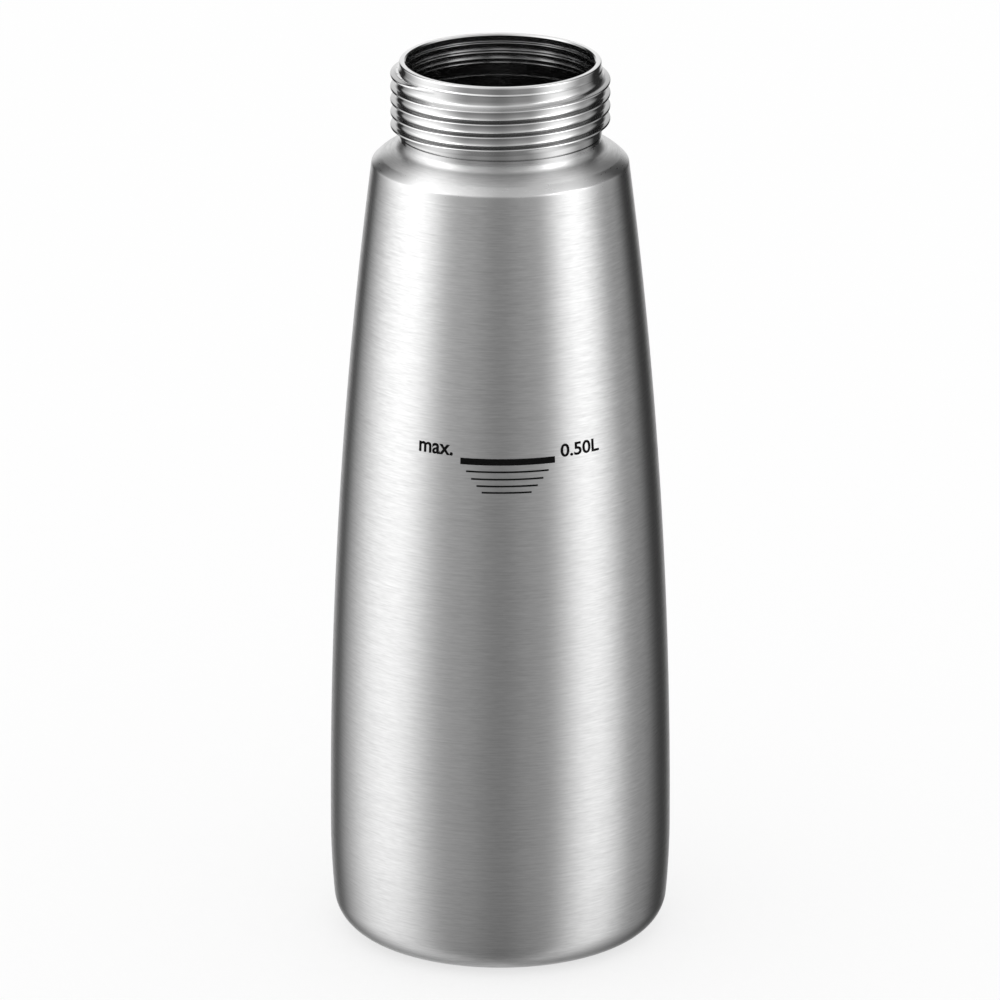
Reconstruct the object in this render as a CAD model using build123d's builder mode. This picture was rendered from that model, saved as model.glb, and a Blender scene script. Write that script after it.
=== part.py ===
from build123d import *
import os
from math import radians, tan

os.makedirs("parts", exist_ok=True)

# Stainless steel bottle of a half litre cream whipper, without its head.
# The bottle's axis is Z, and the origin is the middle of its foot ring, in the plane it stands on.
# All sizes are millimetres.

# Sheet
wall = 1.5

# Foot: a rounded corner, a flat ring to stand on and a pressed recess with a domed floor
foot_tuck = 1.6                 # how far the foot corner lies inside the belly
foot_corner_round = 8.3
foot_ring_width = 2.6
recess_riser = 2.5              # radial run of the slope from the foot ring to the floor
recess_depth = 2.2
floor_rise = 1.4                # crown of the domed floor
press_round = 2.4               # bends of the recess

# Side wall: widest at the belly, then one long taper to the shoulder edge
belly_radius = 39.5
belly_height = 25.0
body_height = 184.65            # from the foot to the shoulder edge
shoulder_edge_radius = 29.3
shoulder_edge_round = 0.9

# Shoulder: a crowned cone that turns up into a short neck
shoulder_rise = 4.05
shoulder_crown_radius = 15.0
neck_length = 1.6               # from the shoulder to the neck ring
neck_round = 1.2

# Seams, welded and ground flush
shoulder_seam_margin = 0.4      # reach of the seam past the thickness of the sheet
neck_seam_height = 0.5

# Neck ring: a turned collar for a thread of 3 mm pitch, left at the thread's full diameter
thread_major_radius = 25.0
thread_depth = 1.85
thread_flank_angle = 30.0
thread_length = 15.2
neck_step = 0.15                # the neck is turned this much under the thread's root
stub_height = 0.6               # plain neck below the thread
relief_height = 0.45
relief_depth = 0.25
lip_height = 1.75
lip_round = 0.45
mouth_chamfer = 0.3

# Radii that follow from the sizes above
thread_root_radius = thread_major_radius - thread_depth
neck_radius = thread_root_radius - neck_step
bore_radius = neck_radius - wall
lip_radius = thread_root_radius
relief_radius = lip_radius - relief_depth
foot_corner_radius = belly_radius - foot_tuck
foot_inner_radius = foot_corner_radius - foot_corner_round - foot_ring_width
floor_radius = foot_inner_radius - recess_riser
cup_rim_height = body_height - wall - shoulder_seam_margin
shoulder_rim_radius = shoulder_edge_radius - wall - shoulder_seam_margin

# Heights, one on top of the other
shoulder_top = body_height + shoulder_rise
ring_bottom = shoulder_top + neck_length
neck_seam_bottom = ring_bottom - neck_seam_height
thread_bottom = ring_bottom + stub_height
thread_top = thread_bottom + thread_length
lip_bottom = thread_top + relief_height
rim_height = lip_bottom + lip_height

hair = 0.001                    # two places closer than this are the same place


def hoops(piece, height):
    """The round edges of a piece that lie level at a height, from the smallest to the largest."""
    rounds = piece.edges().filter_by(GeomType.CIRCLE)
    level = rounds.filter_by_position(Axis.Z, height - hair, height + hair)
    return level.sort_by(SortBy.RADIUS)


# The drawn sheet from the floor to the top of the neck, as one hollow vessel.
# The cup, the shoulder and both seams are cut from it, so that they meet face to face.
floor_middle = (0, recess_depth + floor_rise)
floor_edge = (floor_radius, recess_depth)
foot_inner = (foot_inner_radius, 0)
foot_corner = (foot_corner_radius, 0)
belly = (belly_radius, belly_height)
shoulder_edge = (shoulder_edge_radius, body_height)
neck_foot = (neck_radius, shoulder_top)
neck_top = (neck_radius, ring_bottom)

with BuildPart() as vessel:
    with BuildSketch(Plane.XZ):
        with BuildLine():
            TangentArc(floor_middle, floor_edge, tangent=(1, 0))
            Polyline(floor_edge, foot_inner, foot_corner)
            TangentArc(belly, foot_corner, tangent=(0, -1))
            TangentArc(belly, shoulder_edge, tangent=(0, 1))
            RadiusArc(shoulder_edge, neck_foot, -shoulder_crown_radius)
            Polyline(neck_foot, neck_top, (0, ring_bottom), floor_middle)
        make_face()
    revolve(axis=Axis.Z)
    fillet([hoops(vessel, recess_depth)[0], hoops(vessel, 0)[0]], press_round)
    fillet(hoops(vessel, 0)[-1], foot_corner_round)
    fillet(hoops(vessel, shoulder_top)[0], neck_round)
    offset(amount=-wall, openings=vessel.faces().sort_by(Axis.Z)[-1])
    fillet(hoops(vessel, body_height)[-1], shoulder_edge_round)

with BuildPart() as body_cup:
    add(vessel)
    split(bisect_by=Plane.XY.offset(cup_rim_height), keep=Keep.BOTTOM)

with BuildPart() as shoulder_dome:
    add(vessel)
    split(bisect_by=Plane.XY.offset(cup_rim_height), keep=Keep.TOP)
    split(bisect_by=Plane.XY.offset(neck_seam_bottom), keep=Keep.BOTTOM)
    Cylinder(shoulder_rim_radius, 2 * rim_height, mode=Mode.INTERSECT)

with BuildPart() as shoulder_weld:
    add(vessel)
    split(bisect_by=Plane.XY.offset(cup_rim_height), keep=Keep.TOP)
    Cylinder(shoulder_rim_radius, 2 * rim_height, mode=Mode.SUBTRACT)

with BuildPart() as neck_weld:
    add(vessel)
    split(bisect_by=Plane.XY.offset(neck_seam_bottom), keep=Keep.TOP)

# The collar is turned from bar: stub, thread blank, relief and lip round one plain bore.
# Both ends of the thread slope from its root to its full diameter at the angle of its flanks.
thread_end = thread_depth * tan(radians(thread_flank_angle))

with BuildPart() as neck_ring:
    with BuildSketch(Plane.XZ):
        with BuildLine():
            Polyline(
                (bore_radius, ring_bottom),
                (neck_radius, ring_bottom),
                (neck_radius, thread_bottom),
                (thread_root_radius, thread_bottom),
                (thread_major_radius, thread_bottom + thread_end),
                (thread_major_radius, thread_top - thread_end),
                (thread_root_radius, thread_top),
                (relief_radius, thread_top),
                (relief_radius, lip_bottom),
                (lip_radius, lip_bottom),
                (lip_radius, rim_height),
                (bore_radius, rim_height),
                close=True,
            )
        make_face()
    revolve(axis=Axis.Z)
    fillet(hoops(neck_ring, rim_height)[-1], lip_round)
    chamfer(hoops(neck_ring, rim_height)[0], mouth_chamfer)

for name, piece in (
    ("body_cup", body_cup),
    ("shoulder_dome", shoulder_dome),
    ("shoulder_weld", shoulder_weld),
    ("neck_ring", neck_ring),
    ("neck_weld", neck_weld),
):
    piece.part.label = name
    export_step(piece.part, f"parts/{name}.step")
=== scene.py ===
from math import atan2, cos, degrees, floor, hypot, pi, radians, sin, sqrt

import bpy
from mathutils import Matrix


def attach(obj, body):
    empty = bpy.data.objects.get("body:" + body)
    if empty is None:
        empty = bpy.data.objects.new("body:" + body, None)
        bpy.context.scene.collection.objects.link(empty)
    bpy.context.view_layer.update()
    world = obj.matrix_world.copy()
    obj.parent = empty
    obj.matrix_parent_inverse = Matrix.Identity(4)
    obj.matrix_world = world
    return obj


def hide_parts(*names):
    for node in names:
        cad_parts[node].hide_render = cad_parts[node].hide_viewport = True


# Steel bottle of a cream whipper: every piece is turned about Z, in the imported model's frame.
# Profiles are written in millimetres, as (radius, height) pairs, and become metres in the mesh.

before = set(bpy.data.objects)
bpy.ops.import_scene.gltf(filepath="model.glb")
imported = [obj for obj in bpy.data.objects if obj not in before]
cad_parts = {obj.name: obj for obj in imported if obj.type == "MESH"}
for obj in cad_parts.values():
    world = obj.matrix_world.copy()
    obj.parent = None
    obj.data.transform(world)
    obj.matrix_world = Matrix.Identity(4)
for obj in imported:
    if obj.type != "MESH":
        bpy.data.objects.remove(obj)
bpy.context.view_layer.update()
mm = 0.001

turning = {
    "cupSteps": 256,          # faces round the sheet pieces
    "neckSteps": 288,         # faces round the neck ring and its thread
    "smoothAngle": 32,        # degrees, edges sharper than this stay crisp
    "mergeGap": 0.0008,       # mm, points closer than this become one
    "shortest": 0.00001,      # mm, edges shorter than this are dissolved
}


# small modelling helpers

def deselectAll():
    if bpy.context.object and bpy.context.object.mode == "EDIT":
        bpy.ops.object.mode_set(mode="OBJECT")
    bpy.ops.object.select_all(action="DESELECT")


def arcCentre(start, end, radius):
    # plus turns left, minus turns right
    dr, dz = end[0] - start[0], end[1] - start[1]
    chord = hypot(dr, dz)
    lift = sqrt(max(radius * radius - chord * chord / 4, 0))
    side = 1 if radius > 0 else -1
    return (
        (start[0] + end[0]) / 2 - side * lift * dz / chord,
        (start[1] + end[1]) / 2 + side * lift * dr / chord,
    )


def path(start, *legs):
    # each leg is (end, radius, pieces): radius 0 is straight, plus turns left, minus turns right
    points = [start]
    for end, radius, pieces in legs:
        here = points[-1]
        if radius:
            centre = arcCentre(here, end, radius)
            first = atan2(here[1] - centre[1], here[0] - centre[0])
            last = atan2(end[1] - centre[1], end[0] - centre[0])
            sweep = (last - first + pi) % (2 * pi) - pi
            for i in range(1, pieces):
                angle = first + sweep * i / pieces
                points.append((centre[0] + abs(radius) * cos(angle), centre[1] + abs(radius) * sin(angle)))
        points.append(end)
    return points


def drawProfile(name, points, closed=True):
    # one vertex, extruded from point to point in the XZ plane
    deselectAll()
    bpy.ops.mesh.primitive_plane_add(size=mm, location=(0, 0, 0))
    obj = bpy.context.object
    obj.name = obj.data.name = name
    bpy.ops.object.mode_set(mode="EDIT")
    bpy.ops.mesh.select_all(action="SELECT")
    bpy.ops.mesh.merge(type="CENTER")
    bpy.ops.transform.translate(value=(points[0][0] * mm, 0, points[0][1] * mm))
    route = points[1:] + ([points[0]] if closed else [])
    for here, there in zip([points[0]] + route, route):
        step = ((there[0] - here[0]) * mm, 0, (there[1] - here[1]) * mm)
        bpy.ops.mesh.extrude_vertices_move(TRANSFORM_OT_translate={"value": step})
    bpy.ops.object.mode_set(mode="OBJECT")
    return obj


def turn(name, points, steps, closed=True):
    # a profile spun once round Z
    obj = drawProfile(name, points, closed)
    bpy.ops.object.mode_set(mode="EDIT")
    bpy.ops.mesh.select_all(action="SELECT")
    bpy.ops.mesh.spin(steps=steps, angle=2 * pi, center=(0, 0, 0), axis=(0, 0, 1), dupli=False)
    bpy.ops.object.mode_set(mode="OBJECT")
    return obj


def closeUp(obj):
    # merges what meets, and turns every face outwards
    deselectAll()
    bpy.context.view_layer.objects.active = obj
    obj.select_set(True)
    bpy.ops.object.mode_set(mode="EDIT")
    bpy.ops.mesh.select_all(action="SELECT")
    bpy.ops.mesh.remove_doubles(threshold=turning["mergeGap"] * mm)
    bpy.ops.mesh.dissolve_degenerate(threshold=turning["shortest"] * mm)
    bpy.ops.mesh.normals_make_consistent(inside=False)
    bpy.ops.object.mode_set(mode="OBJECT")
    bpy.ops.object.shade_smooth_by_angle(angle=radians(turning["smoothAngle"]))


# small shader helpers: an input takes a plain value, or the output that feeds it

def feed(tree, socket, value):
    if isinstance(value, bpy.types.NodeSocket):
        tree.links.new(value, socket)
    else:
        socket.default_value = value


def addNode(tree, kind, settings=None, **inputs):
    made = tree.nodes.new(kind)
    for key, value in (settings or {}).items():
        setattr(made, key, value)
    for key, value in inputs.items():
        feed(tree, made.inputs[key], value)
    return made


def mathNode(tree, operation, *values, clamp=False):
    made = tree.nodes.new("ShaderNodeMath")
    made.operation = operation
    made.use_clamp = clamp
    for socket, value in zip(made.inputs, values):
        feed(tree, socket, value)
    return made.outputs[0]


def rangeNode(tree, value, low, high, atLow=0, atHigh=1, soft=True, label=""):
    # from atLow to atHigh while the value goes from low to high, eased at both ends where it is soft
    made = tree.nodes.new("ShaderNodeMapRange")
    made.interpolation_type = "SMOOTHSTEP" if soft else "LINEAR"
    made.label = label
    for socket, given in zip(made.inputs, (value, low, high, atLow, atHigh)):
        feed(tree, socket, given)
    return made.outputs[0]


def greyNode(tree, tone):
    return addNode(tree, "ShaderNodeCombineColor", Red=tone, Green=tone, Blue=tone).outputs[0]


# camera

shot = {
    "place": (0, -1.9386, 0.7628),
    "tilt": 71.205,           # degrees from straight down
    "lens": 320.13,
    "sensor": 36,
    "sideShift": -0.0003,
}

deselectAll()
bpy.ops.object.camera_add(location=shot["place"], rotation=(radians(shot["tilt"]), 0, 0))
camera = bpy.context.object
camera.data.lens = shot["lens"]
camera.data.sensor_width = shot["sensor"]
camera.data.shift_x = shot["sideShift"]
bpy.context.scene.camera = camera
bpy.context.scene.view_settings.view_transform = "Standard"
print("camera placed")


# studio: a grey room with soft panels all round, a ceiling and a wall behind, seen only by the steel

studio = {
    "room": 0.50,             # brightness where there is no panel
    "panels": (
        # name, azimuth from the front, full half width, edge half width, brightness
        ("leftSoftbox", -86, 4, 50, 1.58),
        ("rightSoftbox", 68, 2, 37, 1.30),
        ("leftFill", -34, 4, 22, 0.07),
        ("frontShade", 0, 2, 20, -0.14),
        ("leftFlag", -147, 4, 16, -0.57),
        ("rightFlag", 145, 6, 33, -0.55),
        ("backGlow", 180, 8, 36, 0.62),
    ),
    "darkest": 0.03,
    "ceiling": 0.60,          # straight up
    "ceilingTilt": -0.22,     # the ceiling brightens towards the front,
    "ceilingBack": 0.50,      # and also towards the back, from a little before the zenith on
    "ceilingBackFrom": -0.15,
    "ceilingSides": 1.15,     # both soft boxes reach over the bottle
    "ceilingLeft": -0.70,     # the left one more than the right one
    "ceilingFrom": 0.62,      # sine of the elevation where the ceiling begins
    "ceilingFull": 0.82,
    "backWall": 0.95,         # brightness of the wall behind, above the horizon
    "backWallFull": 14,       # its half width, then its edge, in degrees
    "backWallEdge": 28,
    "backWallFrom": -0.02,    # sine of the elevation where it begins
    "backWallTop": 0.15,
    "boxLift": 0.22,          # the front half of the room is that much brighter above the horizon,
    "boxLiftSides": 1.5,      # and more so towards its sides
    "boxLiftFrom": 0.06,      # sine of the elevation where that begins
    "boxLiftFull": 0.40,
    "boxLiftBack": -0.1,      # it fades towards the back, between these shares of straight ahead
    "boxLiftAhead": 0.4,
    "downDim": 1.00,          # how fast the room dims below the horizon
    "downSwing": 0.28,        # that much more on the side that dims most, and less on the other
    "downTowards": -30,       # azimuth of the side that dims most
    "downLimit": -0.42,       # below this it dims no further
    "floorSize": 12,          # metres
    "floorColour": 0.98,
    "floorShadow": 0.35,      # share of the shadow that the white floor keeps
}


def hangPanels(tree, azimuth):
    room = studio["room"]
    for name, centre, full, edge, brightness in studio["panels"]:
        turned = mathNode(tree, "WRAP", mathNode(tree, "SUBTRACT", azimuth, radians(centre)), pi, -pi)
        away = mathNode(tree, "ABSOLUTE", turned)
        panel = rangeNode(tree, away, radians(full), radians(edge), brightness, 0, label=name)
        room = mathNode(tree, "ADD", panel, room)
    return room


def liftFront(tree, room, x, ahead, z):
    front = rangeNode(tree, ahead, studio["boxLiftBack"], studio["boxLiftAhead"])
    above = rangeNode(tree, z, studio["boxLiftFrom"], studio["boxLiftFull"])
    sideways = mathNode(tree, "MULTIPLY", x, x)
    more = mathNode(tree, "MULTIPLY_ADD", sideways, studio["boxLiftSides"], studio["boxLift"])
    more = mathNode(tree, "MULTIPLY", more, front)
    return mathNode(tree, "MULTIPLY", room, mathNode(tree, "MULTIPLY_ADD", more, above, 1))


def raiseBackWall(tree, room, azimuth, z):
    behind = mathNode(tree, "SUBTRACT", pi, mathNode(tree, "ABSOLUTE", azimuth))
    full, edge = radians(studio["backWallFull"]), radians(studio["backWallEdge"])
    wall = rangeNode(tree, behind, full, edge, studio["backWall"], 0)
    foot = rangeNode(tree, z, studio["backWallFrom"], studio["backWallTop"])
    return mathNode(tree, "MAXIMUM", room, mathNode(tree, "MULTIPLY", wall, foot))


def dimBelow(tree, room, azimuth, z):
    below = mathNode(tree, "MAXIMUM", mathNode(tree, "MINIMUM", z, 0), studio["downLimit"])
    aside = mathNode(tree, "COSINE", mathNode(tree, "SUBTRACT", azimuth, radians(studio["downTowards"])))
    dim = mathNode(tree, "MULTIPLY_ADD", aside, studio["downSwing"], studio["downDim"])
    return mathNode(tree, "MULTIPLY", room, mathNode(tree, "MULTIPLY_ADD", below, dim, 1, clamp=True))


def addCeiling(tree, room, x, y, z):
    ceiling = mathNode(tree, "MULTIPLY_ADD", y, studio["ceilingTilt"], studio["ceiling"])
    beyond = mathNode(tree, "MAXIMUM", mathNode(tree, "SUBTRACT", y, studio["ceilingBackFrom"]), 0)
    ceiling = mathNode(tree, "MULTIPLY_ADD", beyond, studio["ceilingBack"], ceiling)
    ceiling = mathNode(tree, "MULTIPLY_ADD", x, studio["ceilingLeft"], ceiling)
    outwards = mathNode(tree, "ABSOLUTE", x)
    ceiling = mathNode(tree, "MULTIPLY_ADD", outwards, studio["ceilingSides"], ceiling)
    up = rangeNode(tree, z, studio["ceilingFrom"], studio["ceilingFull"])
    rise = mathNode(tree, "MULTIPLY", mathNode(tree, "SUBTRACT", ceiling, room), up)
    return mathNode(tree, "ADD", room, rise)


def makeWorld():
    # x points right, y back and z up; reflections see the room, and every other ray sees plain white
    world = bpy.data.worlds.new("studioRoom")
    bpy.context.scene.world = world
    world.use_nodes = True
    tree = world.node_tree
    tree.nodes.clear()
    place = addNode(tree, "ShaderNodeTexCoord")
    axes = addNode(tree, "ShaderNodeSeparateXYZ", Vector=place.outputs["Generated"])
    x, y, z = axes.outputs["X"], axes.outputs["Y"], axes.outputs["Z"]
    ahead = mathNode(tree, "MULTIPLY", y, -1)
    azimuth = mathNode(tree, "ARCTAN2", x, ahead)
    room = hangPanels(tree, azimuth)
    room = liftFront(tree, room, x, ahead, z)
    room = raiseBackWall(tree, room, azimuth, z)
    room = dimBelow(tree, room, azimuth, z)
    room = addCeiling(tree, room, x, y, z)
    room = mathNode(tree, "MAXIMUM", room, studio["darkest"])
    rays = addNode(tree, "ShaderNodeLightPath")
    overWhite = mathNode(tree, "SUBTRACT", room, 1)
    strength = mathNode(tree, "MULTIPLY_ADD", overWhite, rays.outputs["Is Glossy Ray"], 1)
    back = addNode(tree, "ShaderNodeBackground", Color=(1, 1, 1, 1), Strength=strength)
    addNode(tree, "ShaderNodeOutputWorld", Surface=back.outputs[0])


def makePaper():
    # plain white where it is seen directly, apart from a share of the shadow
    paper = bpy.data.materials.new("whitePaper")
    paper.use_nodes = True
    tree = paper.node_tree
    shader = tree.nodes["Principled BSDF"]
    shader.inputs["Base Color"].default_value = (studio["floorColour"],) * 3 + (1,)
    shader.inputs["Roughness"].default_value = 1
    shader.inputs["Specular IOR Level"].default_value = 0
    rays = addNode(tree, "ShaderNodeLightPath").outputs
    direct = mathNode(tree, "ADD", rays["Is Camera Ray"], rays["Is Glossy Ray"])
    direct = mathNode(tree, "ADD", direct, rays["Is Transmission Ray"], clamp=True)
    share = mathNode(tree, "MULTIPLY", direct, 1 - studio["floorShadow"])
    white = addNode(tree, "ShaderNodeEmission", Strength=1.0)
    blend = tree.nodes.new("ShaderNodeMixShader")
    for socket, value in zip(blend.inputs, (share, shader.outputs[0], white.outputs[0])):
        feed(tree, socket, value)
    feed(tree, tree.nodes["Material Output"].inputs["Surface"], blend.outputs[0])
    return paper


makeWorld()

deselectAll()
bpy.ops.mesh.primitive_plane_add(size=studio["floorSize"], location=(0, 0, 0))
floorSheet = bpy.context.object
floorSheet.name = "floorSheet"
floorSheet.visible_glossy = False
floorSheet.data.materials.append(makePaper())
print("studio lit")


# finishes

finishes = {
    # base grey, roughness, anisotropy, streaks in the grey, streaks in the roughness,
    # depth of the lines, lines per mm along the profile, streaks per mm round it
    "brushedBody": (0.600, 0.34, 0.80, 0.170, 0.05, 0.030, 2.8, 0.13),
    "brushedShoulder": (0.620, 0.40, 0.85, 0.130, 0.06, 0.045, 2.6, 0.12),
    "turnedNeck": (0.640, 0.12, 0.50, 0.050, 0.03, 0.040, 3.0, 0.10),
    # a darker grey for the thread's flanks and the undercut groove: painted shade
    "flankPaintedShade": (0.440, 0.16, 0.50, 0.060, 0.04, 0.040, 3.0, 0.10),
    # the inside's smoother roughness is its own finish; its grey, darker than the outside's, is painted
    # shade
    "drawnInsidePaintedShade": (0.460, 0.14, 0.55, 0.050, 0.03, 0.030, 2.6, 0.20),
    "groundSeam": (0.610, 0.30, 0.70, 0.050, 0.05, 0.030, 2.6, 0.30),
}

grain = {
    "layers": ((1.0, 0.0), (3.1, 7.3)),   # how much shorter the streaks are, and a place in the noise
    "detail": 1.5,
    "roughness": 0.6,
    "low": 0.25,              # part of the noise's range that is used
    "high": 0.75,
    "bumpDistance": 0.2,      # mm
    "highlightTurn": 0.25,    # a quarter turn, so that highlights spread across the lines
}


def makeHairlines():
    # lines that follow the circumference on any turned face: fine along the profile, long round the axis
    tree = bpy.data.node_groups.new("hairlines", "ShaderNodeTree")
    tree.interface.new_socket("Lines", in_out="INPUT", socket_type="NodeSocketFloat")
    tree.interface.new_socket("Streaks", in_out="INPUT", socket_type="NodeSocketFloat")
    tree.interface.new_socket("Mask", in_out="OUTPUT", socket_type="NodeSocketFloat")
    given = tree.nodes.new("NodeGroupInput")
    result = tree.nodes.new("NodeGroupOutput")
    place = addNode(tree, "ShaderNodeTexCoord")
    axes = addNode(tree, "ShaderNodeSeparateXYZ", Vector=place.outputs["Object"])
    x, y, z = axes.outputs["X"], axes.outputs["Y"], axes.outputs["Z"]
    squares = mathNode(tree, "ADD", mathNode(tree, "MULTIPLY", x, x), mathNode(tree, "MULTIPLY", y, y))
    radius = mathNode(tree, "SQRT", squares)
    fine = mathNode(tree, "MULTIPLY", given.outputs["Lines"], 1 / mm)
    long = mathNode(tree, "MULTIPLY", given.outputs["Streaks"], 1 / mm)
    layers = []
    for shorter, offset in grain["layers"]:
        around = mathNode(tree, "MULTIPLY", long, shorter)
        seat = addNode(
            tree, "ShaderNodeCombineXYZ",
            X=mathNode(tree, "MULTIPLY", x, around),
            Y=mathNode(tree, "MULTIPLY", y, around),
            Z=mathNode(tree, "MULTIPLY", z, fine),
        )
        noise = addNode(
            tree, "ShaderNodeTexNoise", {"noise_dimensions": "4D"},
            Vector=seat.outputs[0], W=mathNode(tree, "MULTIPLY_ADD", radius, fine, offset),
            Scale=1.0, Detail=grain["detail"], Roughness=grain["roughness"],
        )
        layers.append(noise.outputs[0])
    mixed = mathNode(tree, "MULTIPLY", mathNode(tree, "ADD", *layers), 1 / len(layers))
    feed(tree, result.inputs["Mask"], mixed)
    return tree


hairlines = makeHairlines()


def makeSteel(name):
    grey, rough, stretch, greyStreak, roughStreak, bump, lines, streaks = finishes[name]
    material = bpy.data.materials.new(name)
    material.use_nodes = True
    tree = material.node_tree
    shader = tree.nodes["Principled BSDF"]
    group = addNode(tree, "ShaderNodeGroup", {"node_tree": hairlines}, Lines=lines, Streaks=streaks)
    mask = group.outputs["Mask"]
    low, high = grain["low"], grain["high"]
    dark, light = grey * (1 - greyStreak), grey * (1 + greyStreak)
    tone = rangeNode(tree, mask, low, high, dark, light, soft=False)
    dull = rangeNode(tree, mask, low, high, rough + roughStreak, rough - roughStreak, soft=False)
    relief = addNode(tree, "ShaderNodeBump", Strength=bump, Distance=grain["bumpDistance"] * mm, Height=mask)
    radial = addNode(tree, "ShaderNodeTangent", {"direction_type": "RADIAL", "axis": "Z"})
    feed(tree, shader.inputs["Base Color"], greyNode(tree, tone))
    feed(tree, shader.inputs["Roughness"], dull)
    feed(tree, shader.inputs["Normal"], relief.outputs[0])
    feed(tree, shader.inputs["Tangent"], radial.outputs[0])
    shader.inputs["Metallic"].default_value = 1
    shader.inputs["Anisotropic"].default_value = stretch
    shader.inputs["Anisotropic Rotation"].default_value = grain["highlightTurn"]
    return material


steels = {name: makeSteel(name) for name in finishes}
print("finishes mixed")


# which faces are the inside, given a grey darker than the outside's as painted shade: those that look back
# at the axis, and the floor

inside = {
    "lookBack": 1e-6,         # metres, slack on a face that looks straight up or down
    "floorSlope": 0.5,        # the floor's faces look up more than this
    "floorTop": 12.0,
    "floorRadius": 37.0,
}


def lineInside(obj):
    obj.data.materials.append(steels["drawnInsidePaintedShade"])
    for face in obj.data.polygons:
        x, y, z = face.center
        inwards = x * face.normal.x + y * face.normal.y < -inside["lookBack"]
        low = z < inside["floorTop"] * mm and hypot(x, y) < inside["floorRadius"] * mm
        if inwards or low and face.normal.z > inside["floorSlope"]:
            face.material_index = 1


def settle(obj, material, node=None):
    obj.data.materials.clear()
    obj.data.materials.append(material)
    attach(obj, "root")
    if node:
        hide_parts(node)


# sheet: one profile from the middle of the floor to the top of the neck, outside and before its bends

sheet = {
    "wall": 1.5,
    "floorRise": 1.4,         # crown of the domed floor
    "recessDepth": 2.2,
    "riserRun": 2.5,          # radial run of the slope from the floor to the foot ring
    "pressBend": 2.4,         # bends of the recess
    "ringWidth": 2.6,         # flat ring that it stands on
    "footCorner": 8.3,
    "footTuck": 1.6,          # how far the foot corner lies inside the belly
    "belly": (39.5, 25.0),
    "edge": (29.3, 184.65),   # shoulder edge, before it is rounded
    "edgeRound": 0.9,
    "crown": 15.0,            # radius of the crowned shoulder
    "neckFoot": (23.0, 188.7),
    "neckTop": (23.0, 190.3),
    "neckBend": 2.0,          # from shoulder to neck, outside
    "neckBendIn": 1.2,        # what the inside follows, before the wall is added to it
    "seamMargin": 0.4,        # reach of the girth seam past the thickness of the sheet
    "neckSeam": 189.8,        # height where the seam under the neck ring begins
}


# a stroke is (start, end, radius), with the radius as in path; its left is the inside of the sheet

def leftOf(stroke, point):
    # how far a point lies to the left of a stroke, and which way left is there
    start, end, radius = stroke
    if radius:
        side = 1 if radius > 0 else -1
        centre = arcCentre(start, end, radius)
        dr, dz = side * (centre[0] - point[0]), side * (centre[1] - point[1])
        away = hypot(dr, dz)
        return side * (abs(radius) - away), (dr / away, dz / away)
    dr, dz = end[0] - start[0], end[1] - start[1]
    length = hypot(dr, dz)
    way = (-dz / length, dr / length)
    return (point[0] - start[0]) * way[0] + (point[1] - start[1]) * way[1], way


def beside(stroke, point, shift=0):
    # the place nearest to a point that is on a stroke, or that far to the left of it
    gap, way = leftOf(stroke, point)
    return point[0] + (shift - gap) * way[0], point[1] + (shift - gap) * way[1]


def besideBoth(before, after, shift):
    # the place that far to the left of two strokes, found in a few steps from where they meet
    r, z = before[1]
    for step in range(12):
        gap, way = leftOf(before, (r, z))
        nextGap, nextWay = leftOf(after, (r, z))
        cross = way[0] * nextWay[1] - way[1] * nextWay[0]
        r += ((shift - gap) * nextWay[1] - (shift - nextGap) * way[1]) / cross
        z += ((shift - nextGap) * way[0] - (shift - gap) * nextWay[0]) / cross
    return r, z


def bend(before, after, radius):
    # where an arc of that radius leaves one stroke and joins the next
    centre = besideBoth(before, after, radius)
    return beside(before, centre), beside(after, centre)


def longArc(start, end, drop):
    # radius of an arc between two points that is tangent, at one, to a line the other is that far from
    return ((end[0] - start[0]) ** 2 + (end[1] - start[1]) ** 2) / (2 * drop)


wall = sheet["wall"]
belly, edge = sheet["belly"], sheet["edge"]
floorMiddle = (0, sheet["recessDepth"] + sheet["floorRise"])
footEdge = (belly[0] - sheet["footTuck"], 0)
ringEdge = (footEdge[0] - sheet["footCorner"] - sheet["ringWidth"], 0)
floorEdge = (ringEdge[0] - sheet["riserRun"], sheet["recessDepth"])
floorArc = longArc(floorMiddle, floorEdge, sheet["floorRise"])
sideArc = longArc(footEdge, belly, sheet["footTuck"])
taperArc = longArc(belly, edge, belly[0] - edge[0])

floorStroke = (floorMiddle, floorEdge, -floorArc)
riserStroke = (floorEdge, ringEdge, 0)
ringStroke = (ringEdge, footEdge, 0)
sideStroke = (footEdge, belly, sideArc)
taperStroke = (belly, edge, taperArc)
crownStroke = (edge, sheet["neckFoot"], sheet["crown"])
neckStroke = (sheet["neckFoot"], sheet["neckTop"], 0)


def wallRadius(height, depth=0):
    # radius of the tapered wall at a height, on the outside or that deep in the sheet
    rise = height - belly[1]
    return belly[0] - taperArc + sqrt((taperArc - depth) ** 2 - rise * rise)


def crownHeight(radius, depth=0):
    # height of the shoulder at a radius, on the outside or that deep in the sheet
    centre = arcCentre(*crownStroke)
    return centre[1] + sqrt((sheet["crown"] - depth) ** 2 - (radius - centre[0]) ** 2)


# the girth seam lies between the cup's rim, at a height, and the shoulder's rim, at a radius
cupTop = edge[1] - wall - sheet["seamMargin"]
seamRadius = edge[0] - wall - sheet["seamMargin"]
rimOut = (wallRadius(cupTop), cupTop)
rimIn = (wallRadius(cupTop, wall), cupTop)
seamOut = (seamRadius, crownHeight(seamRadius))
seamIn = (seamRadius, crownHeight(seamRadius, wall))


# the drawn cup: recessed floor, rounded foot, belly and long taper

floorBend = bend(floorStroke, riserStroke, -sheet["pressBend"])
ringBend = bend(riserStroke, ringStroke, sheet["pressBend"])
footBend = bend(ringStroke, sideStroke, sheet["footCorner"])

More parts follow.
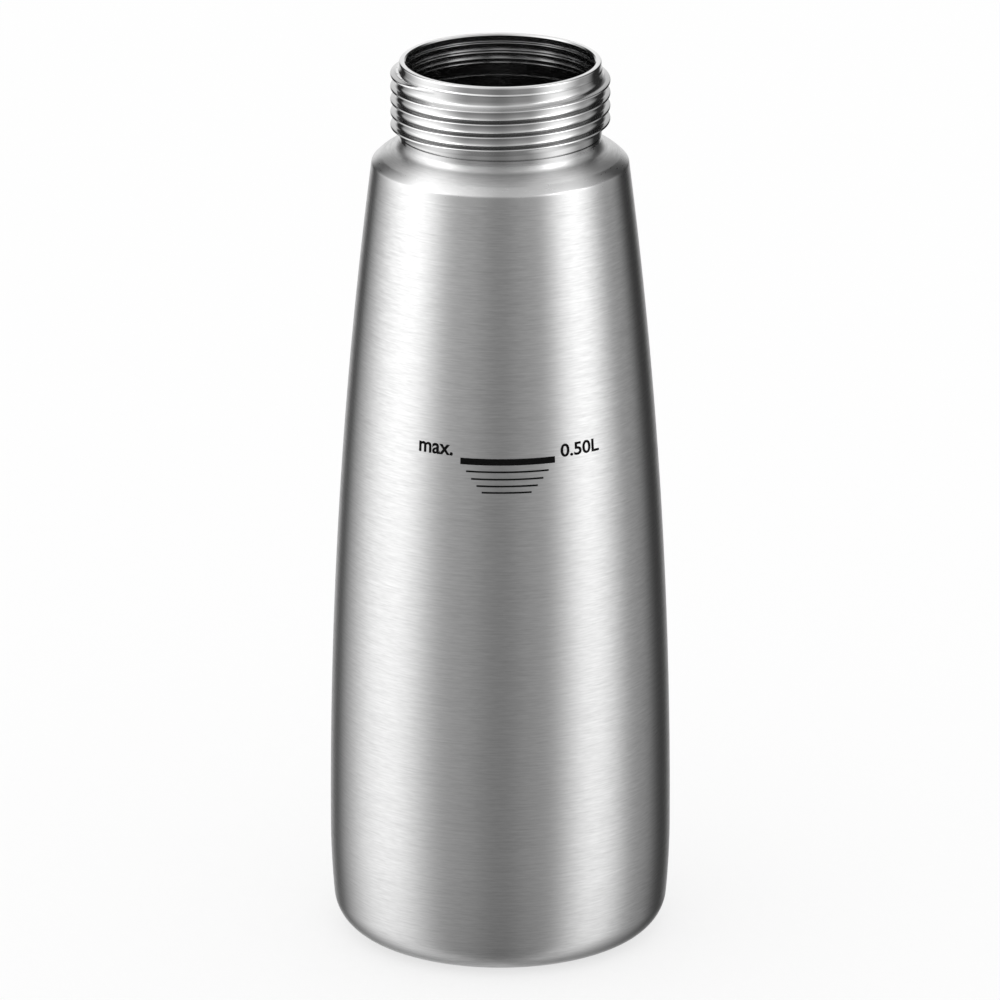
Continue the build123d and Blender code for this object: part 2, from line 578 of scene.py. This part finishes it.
cupProfile = path(
    floorMiddle,
    (floorBend[0], -floorArc, 12),
    (floorBend[1], -sheet["pressBend"], 6),
    (ringBend[0], 0, 1),
    (ringBend[1], sheet["pressBend"], 6),
    (footBend[0], 0, 1),
    (footBend[1], sheet["footCorner"], 18),
    (belly, sideArc, 8),
    (rimOut, taperArc, 36),
    # over the rim, and down inside
    (rimIn, 0, 1),
    ((belly[0] - wall, belly[1]), wall - taperArc, 30),
    (beside(sideStroke, footBend[1], wall), wall - sideArc, 6),
    (beside(ringStroke, footBend[0], wall), wall - sheet["footCorner"], 12),
    (beside(ringStroke, ringBend[1], wall), 0, 1),
    (beside(riserStroke, ringBend[0], wall), wall - sheet["pressBend"], 4),
    (beside(riserStroke, floorBend[1], wall), 0, 1),
    (beside(floorStroke, floorBend[0], wall), wall + sheet["pressBend"], 5),
    ((0, floorMiddle[1] + wall), wall + floorArc, 8),
)
bodyCup = turn("drawnCup", cupProfile, turning["cupSteps"], closed=False)
closeUp(bodyCup)
settle(bodyCup, steels["brushedBody"], "body_cup")
lineInside(bodyCup)
print("cup turned")


# shoulder and its two ground seams

edgeRound = bend(taperStroke, crownStroke, sheet["edgeRound"])
neckBend = bend(crownStroke, neckStroke, -sheet["neckBend"])
neckBendIn = bend(crownStroke, neckStroke, -sheet["neckBendIn"])
bendCentre = besideBoth(crownStroke, neckStroke, -sheet["neckBend"])
bendReach = sqrt(sheet["neckBend"] ** 2 - (sheet["neckSeam"] - bendCentre[1]) ** 2)
neckOut = (bendCentre[0] - bendReach, sheet["neckSeam"])
neckIn = (sheet["neckTop"][0] - wall, sheet["neckSeam"])

domeProfile = path(
    seamIn,
    (seamOut, 0, 1),
    (neckBend[0], sheet["crown"], 10),
    (neckOut, -sheet["neckBend"], 10),
    (neckIn, 0, 1),
    (beside(neckStroke, neckBendIn[1], wall), 0, 1),
    (beside(crownStroke, neckBendIn[0], wall), wall + sheet["neckBendIn"], 8),
    (seamIn, wall - sheet["crown"], 8),
)[:-1]
dome = turn("pressedShoulder", domeProfile, turning["cupSteps"])
closeUp(dome)
settle(dome, steels["brushedShoulder"], "shoulder_dome")
lineInside(dome)

girthProfile = path(
    rimOut,
    (edgeRound[0], taperArc, 3),
    (edgeRound[1], sheet["edgeRound"], 6),
    (seamOut, sheet["crown"], 5),
    (seamIn, 0, 1),
    (besideBoth(taperStroke, crownStroke, wall), wall - sheet["crown"], 2),
    (rimIn, wall - taperArc, 2),
)
girthSeam = turn("girthSeam", girthProfile, turning["cupSteps"])
closeUp(girthSeam)
settle(girthSeam, steels["groundSeam"], "shoulder_weld")
lineInside(girthSeam)

neckSeamProfile = path(
    neckOut,
    (neckBend[1], -sheet["neckBend"], 3),
    (sheet["neckTop"], 0, 1),
    ((neckIn[0], sheet["neckTop"][1]), 0, 1),
    (neckIn, 0, 1),
)
neckSeam = turn("neckSeam", neckSeamProfile, turning["cupSteps"])
closeUp(neckSeam)
settle(neckSeam, steels["groundSeam"], "neck_weld")
lineInside(neckSeam)
print("shoulder and seams turned")


# neck ring: lip, bore and stub are turned, and the thread is a screwed sheet between them

thread = {
    "crest": 25.0,
    "root": 23.43,
    "stub": 23.15,
    "pitch": 3.0,
    "crestAt": 199.3,         # height of one crest on the left, at 180 degrees
    "turns": range(-4, 4),    # turns of the sheet, counted from that crest, before it is trimmed
    "top": 206.15,
    "bottom": 191.5,
    "topFull": 2 * 360 + 200, # the ridge fades between these turns, in degrees along the helix
    "topGone": 2 * 360 + 232,
    "bottomFull": -2 * 360 + 150,
    "bottomGone": -2 * 360 + 60,
    "runOutFrom": 0.6,        # mm, from here to half a pitch, the flank blends into the plain stub
    "lastColumn": 359.999,    # degrees, what lies beyond is the sheet's first column again
}

# the ridge's form on both sides of its crest, as (distance along the axis, radius):
# a steep underside, and above the crest a short flank that runs out in a hollow root
thread["below"] = path(
    (0.0, thread["crest"]),
    ((-0.1, thread["crest"]), 0, 1),
    ((-0.159, 24.949), 0.06, 3),
    ((-0.383, 23.678), 0, 1),
    ((-0.678, thread["root"]), -0.3, 5),
    ((-1.1, thread["root"]), 0, 1),
)
thread["above"] = path(
    (0.0, thread["crest"]),
    ((0.285, 24.793), -0.3, 6),
    ((0.49, 24.162), 0, 1),
    ((1.5, thread["root"]), 1.06, 10),
)[:-1]

neck = {
    "radius": sheet["neckTop"][0],        # between the neck seam and the undercut
    "bore": sheet["neckTop"][0] - wall,
    "seat": sheet["neckTop"][1],
    "rim": 208.3,
    "undercut": 22.2,         # groove under the thread, with its lower and upper edge
    "undercutFrom": 191.06,
    "undercutTo": 191.47,
    "undercutLip": 23.1,      # radius where it ends under the thread
    "plainTo": 191.05,
    "collar": 23.2,           # plain ring between the thread and the lip
    "lip": 22.98,
    "lipRound": 0.43,
    "boreTop": 208.0,
    "boreEnd": 190.6,
    "boreStepWall": 21.54,    # bore between its fine turned steps
    "boreSteps": (
        # height of the lower edge, height of the step, depth
        (206.60, 0.25, 0.030), (206.15, 0.30, 0.036), (204.57, 0.80, 0.085), (203.95, 0.60, 0.070),
        (202.55, 1.15, 0.130), (201.55, 0.55, 0.060), (198.60, 0.30, 0.030),
    ),
    # inside faces found with this radius get the inside's darker grey as painted shade
    "insideRadius": 21.77,    # faces within this radius, under the mouth's edge, are the inside
    # the flanks and the undercut faces found with these numbers get a darker grey as painted shade
    "flankFrom": 23.5,        # faces between these radii that look up or down this steeply are flanks
    "flankTo": 24.93,
    "flankSlope": 0.80,
    "grooveFrom": 21.9,       # faces of the undercut lie between these radii,
    "grooveTo": 23.08,
    "grooveBottom": 191.05,   # and between these heights
    "grooveTop": 191.49,
}


def smooth(value, low, high):
    share = min(max((value - low) / (high - low), 0), 1)
    return share * share * (3 - 2 * share)


def ridgeLife(along):
    # 1 where the ridge is whole, 0 past either end; along is in degrees on the helix
    head = 1 - smooth(along, thread["topFull"], thread["topGone"])
    tail = smooth(along, thread["bottomGone"], thread["bottomFull"])
    return head * tail


def threadRows():
    # rows of the form from below the thread to above it, at 0 degrees
    form = thread["below"][:0:-1] + thread["above"]
    rows = []
    for turnCount in thread["turns"]:
        centre = thread["crestAt"] - thread["pitch"] / 2 + turnCount * thread["pitch"]
        rows += [(r, centre + u) for u, r in form]
    return rows


def trimThread(obj):
    # fades the ridge at both ends and holds the sheet between the stub's ends
    for vertex in obj.data.vertices:
        x, y, z = (c / mm for c in vertex.co)
        angle = degrees(atan2(y, x)) % 360
        if angle > thread["lastColumn"]:
            angle = 0.0
        phase = (z - thread["crestAt"] - thread["pitch"] * (angle - 180) / 360) / thread["pitch"]
        ridge = floor(phase + 0.5)
        away = (phase - ridge) * thread["pitch"]
        along = 360 * ridge + angle
        own = ridgeLife(along)
        groove = min(own, ridgeLife(along + (360 if away > 0 else -360)))
        share = smooth(abs(away), thread["runOutFrom"], thread["pitch"] / 2)
        life = own * (1 - share) + groove * share
        radius = hypot(x, y)
        wanted = thread["stub"] + (radius - thread["stub"]) * life
        if z >= thread["top"] or z <= thread["bottom"]:
            z = min(max(z, thread["bottom"]), thread["top"])
            wanted = thread["stub"]
        vertex.co = (x / radius * wanted * mm, y / radius * wanted * mm, z * mm)


def boreStep(foot, tall, deep):
    # one turned step, going down: a square shoulder, then a hollow that leans in to a crisp lower edge
    bore, between = neck["bore"], neck["boreStepWall"]
    hollow = (tall * tall + deep * deep) / (2 * deep)
    return (
        ((between, foot + tall), 0, 1),
        ((bore + deep, foot + tall), 0, 1),
        ((bore, foot), -hollow, 5),
        ((between, foot), 0, 1),
    )


threadSheet = drawProfile("threadSheet", threadRows(), closed=False)
screw = threadSheet.modifiers.new("helix", "SCREW")
screw.axis = "Z"
screw.angle = 2 * pi
screw.screw_offset = thread["pitch"] * mm
screw.steps = screw.render_steps = turning["neckSteps"]
screw.use_smooth_shade = True
bpy.ops.object.modifier_apply(modifier="helix")
trimThread(threadSheet)

boreLegs = [leg for step in neck["boreSteps"] for leg in boreStep(*step)]

neckProfile = path(
    (thread["stub"], thread["top"]),
    # out to the collar, and up the lip to the rim
    ((neck["collar"], 206.36), 0, 1),
    ((neck["collar"], 206.4), 0.3, 2),
    ((neck["lip"], 206.7), 0, 1),
    ((neck["lip"], 207.87), 0, 1),
    ((22.7, neck["rim"]), neck["lipRound"], 8),
    # over the rim, and down the bore
    ((21.86, neck["rim"]), 0, 1),
    ((21.78, 208.27), 0.1, 3),
    ((neck["bore"], neck["boreTop"]), 0, 1),
    ((neck["boreStepWall"], neck["boreTop"]), 0, 1),
    *boreLegs,
    ((neck["boreStepWall"], neck["boreEnd"]), 0, 1),
    ((neck["bore"], neck["boreEnd"]), 0, 1),
    ((neck["bore"], neck["seat"]), 0, 1),
    # out over the seat, and up past the undercut to the thread
    ((neck["radius"], neck["seat"]), 0, 1),
    ((neck["radius"], neck["plainTo"]), 0, 1),
    ((neck["undercut"], neck["undercutFrom"]), 0, 1),
    ((neck["undercut"], neck["undercutTo"]), 0, 1),
    ((neck["undercutLip"], neck["undercutTo"]), 0, 1),
    ((thread["stub"], thread["bottom"]), 0, 1),
)
neckRing = turn("threadedNeck", neckProfile, turning["neckSteps"], closed=False)
deselectAll()
threadSheet.select_set(True)
neckRing.select_set(True)
bpy.context.view_layer.objects.active = neckRing
bpy.ops.object.join()
closeUp(neckRing)
settle(neckRing, steels["turnedNeck"], "neck_ring")
# the inside's grey is darker than the outside's: painted shade
neckRing.data.materials.append(steels["drawnInsidePaintedShade"])
neckRing.data.materials.append(steels["flankPaintedShade"])
# the flanks and the undercut groove get a darker grey still: painted shade
for face in neckRing.data.polygons:
    radius, height = hypot(face.center.x, face.center.y) / mm, face.center.z / mm
    flank = neck["flankFrom"] < radius < neck["flankTo"] and abs(face.normal.z) > neck["flankSlope"]
    level = neck["grooveBottom"] < height < neck["grooveTop"]
    if radius < neck["insideRadius"] and height < neck["boreTop"]:
        face.material_index = 1
    elif flank or level and neck["grooveFrom"] < radius < neck["grooveTo"]:
        face.material_index = 2
print("neck ring and thread turned")


# fill mark: a bar, four lines under it and two plain words, printed on the wall

fillMark = {
    "lift": 0.035,            # mm off the wall
    "ink": 0.03,              # mm thick
    "bar": (124.1, 1.5, -14.7, 20.3),     # height, thickness, from and to in degrees
    "lines": (
        (121.8, 0.40, -12.5, 17.8), (120.1, 0.40, -10.6, 15.75),
        (118.5, 0.40, -8.6, 13.6), (117.0, 0.40, -6.7, 11.3),
    ),
    "barSteps": 48,           # pieces that a bar or a line bends round the wall in
    "words": (
        # text, from and to in degrees, height of the lowest point, and from there to the highest
        ("max.", -31.2, -17.6, 125.1, 2.50), ("0.50L", 22.6, 38.9, 124.4, 3.05),
    ),
    "weight": 0.022,          # how far the letters' outlines are swelled, as a share of their size
    "strip": 0.6,             # mm, widest flat strip before a word is wrapped
    "mergeGap": 0.002,        # mm
    "speckles": 2500.0,       # scale of the speckle in the ink, the range of it that is used,
    "speckleLow": 0.2,
    "speckleHigh": 0.8,
    "inkDark": 0.002,         # and the greys that it gives
    "inkLight": 0.006,
    "inkRoughness": 0.7,
    "inkGloss": 0.04,
}


def wrapOnWall(obj):
    # x is degrees from the front, z is height: both are laid on the wall, a hair above it
    for vertex in obj.data.vertices:
        turned, height = radians(vertex.co.x), vertex.co.z
        radius = wallRadius(height) + fillMark["lift"]
        vertex.co = (radius * sin(turned) * mm, -radius * cos(turned) * mm, height * mm)


def sliceUp(obj, low, high, width):
    # cuts a flat word into upright strips
    deselectAll()
    bpy.context.view_layer.objects.active = obj
    obj.select_set(True)
    bpy.ops.object.mode_set(mode="EDIT")
    at = low + width
    while at < high:
        bpy.ops.mesh.select_all(action="SELECT")
        bpy.ops.mesh.bisect(plane_co=(at, 0, 0), plane_no=(1, 0, 0))
        at += width
    bpy.ops.object.mode_set(mode="OBJECT")


def printBar(height, thickness, start, end):
    deselectAll()
    bpy.ops.mesh.primitive_grid_add(x_subdivisions=fillMark["barSteps"], y_subdivisions=1, size=1)
    bar = bpy.context.object
    for vertex in bar.data.vertices:
        share, side = vertex.co.x + 0.5, vertex.co.y
        vertex.co = (start + (end - start) * share, 0, height + side * thickness)
    wrapOnWall(bar)
    return bar


def printWord(text, start, end, foot, tall):
    deselectAll()
    bpy.ops.object.text_add()
    bpy.context.object.data.body = text
    bpy.context.object.data.offset = fillMark["weight"]
    bpy.ops.object.convert(target="MESH")
    word = bpy.context.object
    xs = [vertex.co.x for vertex in word.data.vertices]
    ys = [vertex.co.y for vertex in word.data.vertices]
    across = (end - start) / (max(xs) - min(xs))
    rise = tall / (max(ys) - min(ys))
    left, lowest = min(xs), min(ys)
    for vertex in word.data.vertices:
        vertex.co = (start + (vertex.co.x - left) * across, 0, foot + (vertex.co.y - lowest) * rise)
    sliceUp(word, start, end, degrees(fillMark["strip"] / wallRadius(foot)))
    wrapOnWall(word)
    return word


def makeInk():
    ink = bpy.data.materials.new("printedBlack")
    ink.use_nodes = True
    tree = ink.node_tree
    shader = tree.nodes["Principled BSDF"]
    place = addNode(tree, "ShaderNodeTexCoord").outputs["Object"]
    speckle = addNode(tree, "ShaderNodeTexNoise", Vector=place, Scale=fillMark["speckles"], Detail=2.0)
    tone = rangeNode(
        tree, speckle.outputs[0], fillMark["speckleLow"], fillMark["speckleHigh"],
        fillMark["inkDark"], fillMark["inkLight"], soft=False,
    )
    feed(tree, shader.inputs["Base Color"], greyNode(tree, tone))
    shader.inputs["Roughness"].default_value = fillMark["inkRoughness"]
    shader.inputs["Specular IOR Level"].default_value = fillMark["inkGloss"]
    return ink


prints = [printBar(*fillMark["bar"])]
prints += [printBar(*line) for line in fillMark["lines"]]
prints += [printWord(*word) for word in fillMark["words"]]
deselectAll()
for piece in prints:
    piece.select_set(True)
bpy.context.view_layer.objects.active = prints[0]
bpy.ops.object.join()
mark = bpy.context.object
mark.name = mark.data.name = "fillMark"
bpy.ops.object.mode_set(mode="EDIT")
bpy.ops.mesh.select_all(action="SELECT")
bpy.ops.mesh.remove_doubles(threshold=fillMark["mergeGap"] * mm)
bpy.ops.object.mode_set(mode="OBJECT")
if mark.data.polygons[0].normal.y > 0:
    mark.data.flip_normals()
thicken = mark.modifiers.new("ink", "SOLIDIFY")
thicken.thickness = fillMark["ink"] * mm
thicken.offset = -1
bpy.ops.object.modifier_apply(modifier="ink")
settle(mark, makeInk())
print("fill mark printed")
